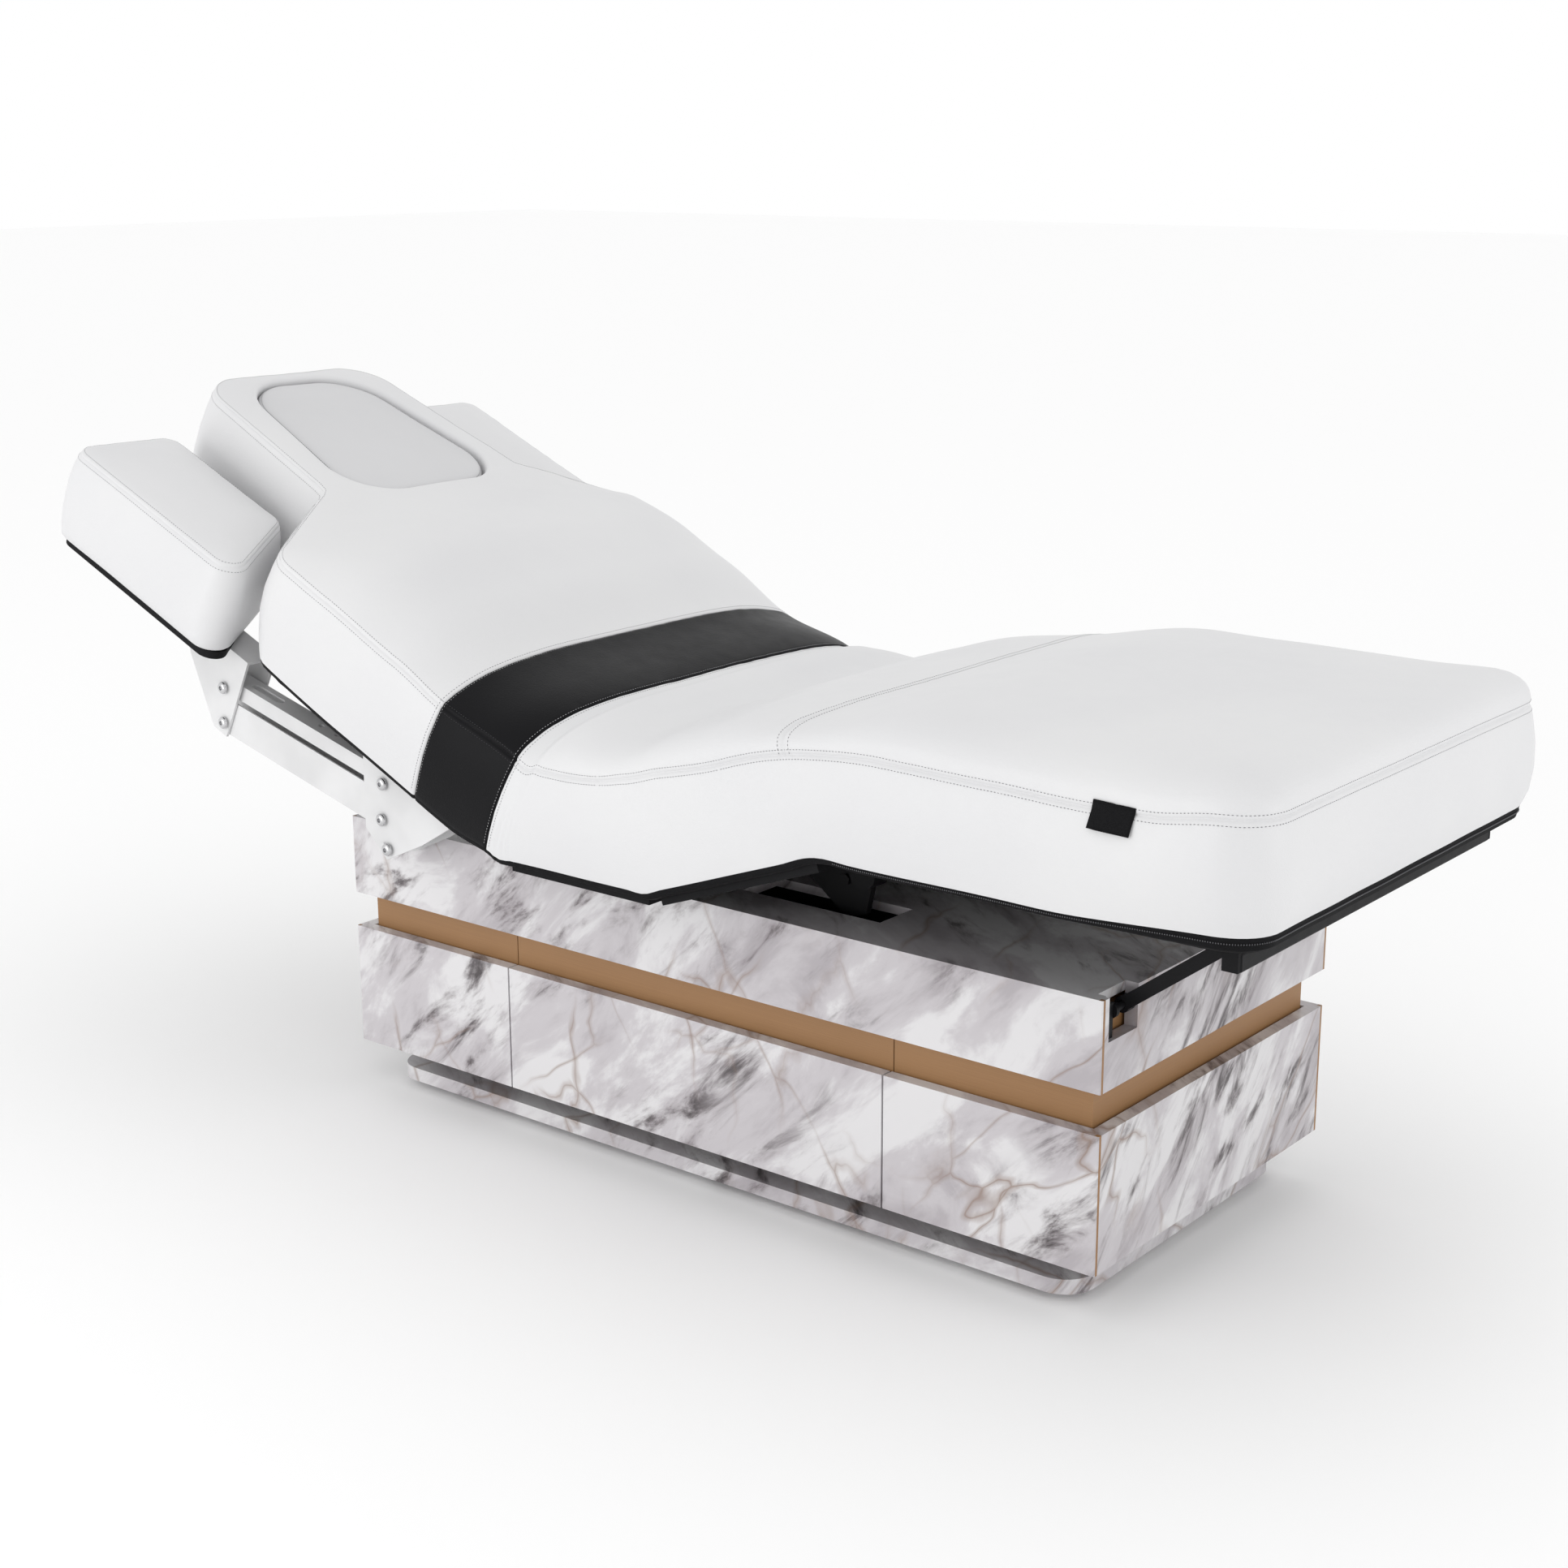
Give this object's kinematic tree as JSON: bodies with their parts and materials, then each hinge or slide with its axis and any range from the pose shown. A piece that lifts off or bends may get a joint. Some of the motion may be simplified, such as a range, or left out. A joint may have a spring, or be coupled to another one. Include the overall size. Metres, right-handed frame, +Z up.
{
  "type": "spa treatment table",
  "caption": "Padded treatment table with lifting back and knee sections, adjustable arm rests and a marble look cabinet base that rises on columns.",
  "frame": {"origin": "on the floor, under the middle of the cabinet base", "axes": "+X towards the foot end along the table, +Y to the far side, +Z up"},
  "size_m": [2.0472, 0.832, 1.0117],
  "materials": {
    "white_upholstery": "smooth matt leatherette",
    "black_upholstery": "smooth leatherette",
    "marble_laminate": "satin laminate with a marble pattern",
    "bronze": "brushed bronze laminate",
    "white_steel": "white powder coat",
    "black_steel": "black powder coat",
    "grey_steel": "grey powder coat",
    "black_board": "black stained plywood",
    "carcass_board": "melamine faced board",
    "rubber_pad": "black rubber",
    "black_plastic": "moulded plastic"
  },
  "bodies": {
    "base": {"base_plate": "marble_laminate", "feet": "rubber_pad", "carcass": "carcass_board", "drawer_runners": "grey_steel", "front_near_head": "marble_laminate", "front_near_foot": "marble_laminate", "front_far_head": "marble_laminate", "front_far_foot": "marble_laminate", "end_panel_head": "marble_laminate", "end_panel_foot": "marble_laminate", "corner_trims_lower": "bronze", "mains_inlet": "black_plastic", "reveal_sides": "bronze", "reveal_ends": "bronze", "column_head_outer": "grey_steel", "column_foot_outer": "grey_steel"},
    "cladding": {"cladding_ring": "bronze"},
    "drawer_near": {"drawer_near_front": "marble_laminate", "drawer_near_box": "carcass_board"},
    "drawer_far": {"drawer_far_front": "marble_laminate", "drawer_far_box": "carcass_board"},
    "chassis": {"cladding_top_ring": "bronze", "column_head_inner": "grey_steel", "column_foot_inner": "grey_steel", "chassis_frame": "black_steel", "deck": "marble_laminate", "skirt_near": "marble_laminate", "skirt_far": "marble_laminate", "skirt_head": "marble_laminate", "skirt_foot": "marble_laminate", "corner_trims_upper": "bronze", "stay_brackets": "black_steel", "seat_board": "black_board", "seat_cushion": "white_upholstery", "hip_fold": "white_upholstery", "thigh_fold": "white_upholstery"},
    "back": {"back_board": "black_board", "waist_band": "black_upholstery", "back_cushion": "white_upholstery", "head_cushion": "white_upholstery", "arm_near_bracket": "white_steel", "arm_far_bracket": "white_steel"},
    "face_insert": {"face_insert": "white_upholstery"},
    "thigh": {"thigh_board": "black_board", "thigh_cushion": "white_upholstery", "thigh_levers": "black_steel", "knee_fold": "white_upholstery"},
    "calf": {"calf_board": "black_board", "calf_cushion": "white_upholstery"},
    "calf_stay": {"calf_stay": "black_steel"},
    "arm_near_lower": {"arm_near_lower_link": "white_steel"},
    "arm_near_upper": {"arm_near_upper_link": "white_steel"},
    "arm_near_rest": {"arm_near_end_bracket": "white_steel", "arm_near_board": "black_board", "arm_near_pad": "white_upholstery"},
    "arm_far_lower": {"arm_far_lower_link": "white_steel"},
    "arm_far_upper": {"arm_far_upper_link": "white_steel"},
    "arm_far_rest": {"arm_far_end_bracket": "white_steel", "arm_far_board": "black_board", "arm_far_pad": "white_upholstery"}
  },
  "joints": [
    {"name": "table_lift", "type": "slide", "parent": "base", "child": "chassis", "axis": [0, 0, 1], "range_m": [0, 0.24]},
    {"name": "cladding_lift", "type": "slide", "parent": "base", "child": "cladding", "axis": [0, 0, 1], "range_m": [0, 0.12]},
    {"name": "drawer_near_slide", "type": "slide", "parent": "base", "child": "drawer_near", "axis": [0, -1, 0], "range_m": [0, 0.2]},
    {"name": "drawer_far_slide", "type": "slide", "parent": "base", "child": "drawer_far", "axis": [0, 1, 0], "range_m": [0, 0.2]},
    {"name": "back_lift", "type": "hinge", "parent": "chassis", "child": "back", "pos_m": [-0.246, 0, 0.432], "axis": [0, 1, 0], "range_deg": [-23.5, 36.5], "deforming": ["hip_fold"]},
    {"name": "knee_lift", "type": "hinge", "parent": "chassis", "child": "thigh", "pos_m": [0.02, 0, 0.432], "axis": [0, -1, 0], "range_deg": [-20, 4], "deforming": ["thigh_fold"]},
    {"name": "calf_knee", "type": "hinge", "parent": "thigh", "child": "calf", "pos_m": [0.29157, 0, 0.53084], "axis": [0, -1, 0], "range_deg": [-4, 20], "deforming": ["knee_fold"]},
    {"name": "calf_stay_pivot", "type": "hinge", "parent": "chassis", "child": "calf_stay", "pos_m": [0.63, 0, 0.39], "axis": [0, -1, 0], "range_deg": [-32.6, 6.52]},
    {"name": "face_insert_lift", "type": "slide", "parent": "back", "child": "face_insert", "axis": [0.3987, 0, 0.9171], "range_m": [0, 0.22]},
    {"name": "arm_near_lift", "type": "hinge", "parent": "back", "child": "arm_near_lower", "pos_m": [-0.50948, -0.319, 0.44297], "axis": [0, 1, 0], "range_deg": [-14, 5]},
    {"name": "arm_near_upper_pivot", "type": "hinge", "parent": "back", "child": "arm_near_upper", "pos_m": [-0.50493, -0.319, 0.49606], "axis": [0, 1, 0], "range_deg": [-14, 5]},
    {"name": "arm_near_level", "type": "hinge", "parent": "arm_near_lower", "child": "arm_near_rest", "pos_m": [-0.84739, -0.319, 0.53415], "axis": [0, 1, 0], "range_deg": [-5, 14]},
    {"name": "arm_far_lift", "type": "hinge", "parent": "back", "child": "arm_far_lower", "pos_m": [-0.50948, 0.319, 0.44297], "axis": [0, 1, 0], "range_deg": [-14, 5]},
    {"name": "arm_far_upper_pivot", "type": "hinge", "parent": "back", "child": "arm_far_upper", "pos_m": [-0.50493, 0.319, 0.49606], "axis": [0, 1, 0], "range_deg": [-14, 5]},
    {"name": "arm_far_level", "type": "hinge", "parent": "arm_far_lower", "child": "arm_far_rest", "pos_m": [-0.84739, 0.319, 0.53415], "axis": [0, 1, 0], "range_deg": [-5, 14]}
  ],
  "couplings": [
    {"joint": "cladding_lift", "follows": "table_lift", "ratio": 0.5},
    {"joint": "calf_knee", "follows": "knee_lift", "ratio": -1},
    {"joint": "calf_stay_pivot", "follows": "knee_lift", "ratio": 1.63},
    {"joint": "arm_near_upper_pivot", "follows": "arm_near_lift", "ratio": 1},
    {"joint": "arm_near_level", "follows": "arm_near_lift", "ratio": -1},
    {"joint": "arm_far_upper_pivot", "follows": "arm_far_lift", "ratio": 1},
    {"joint": "arm_far_level", "follows": "arm_far_lift", "ratio": -1}
  ]
}
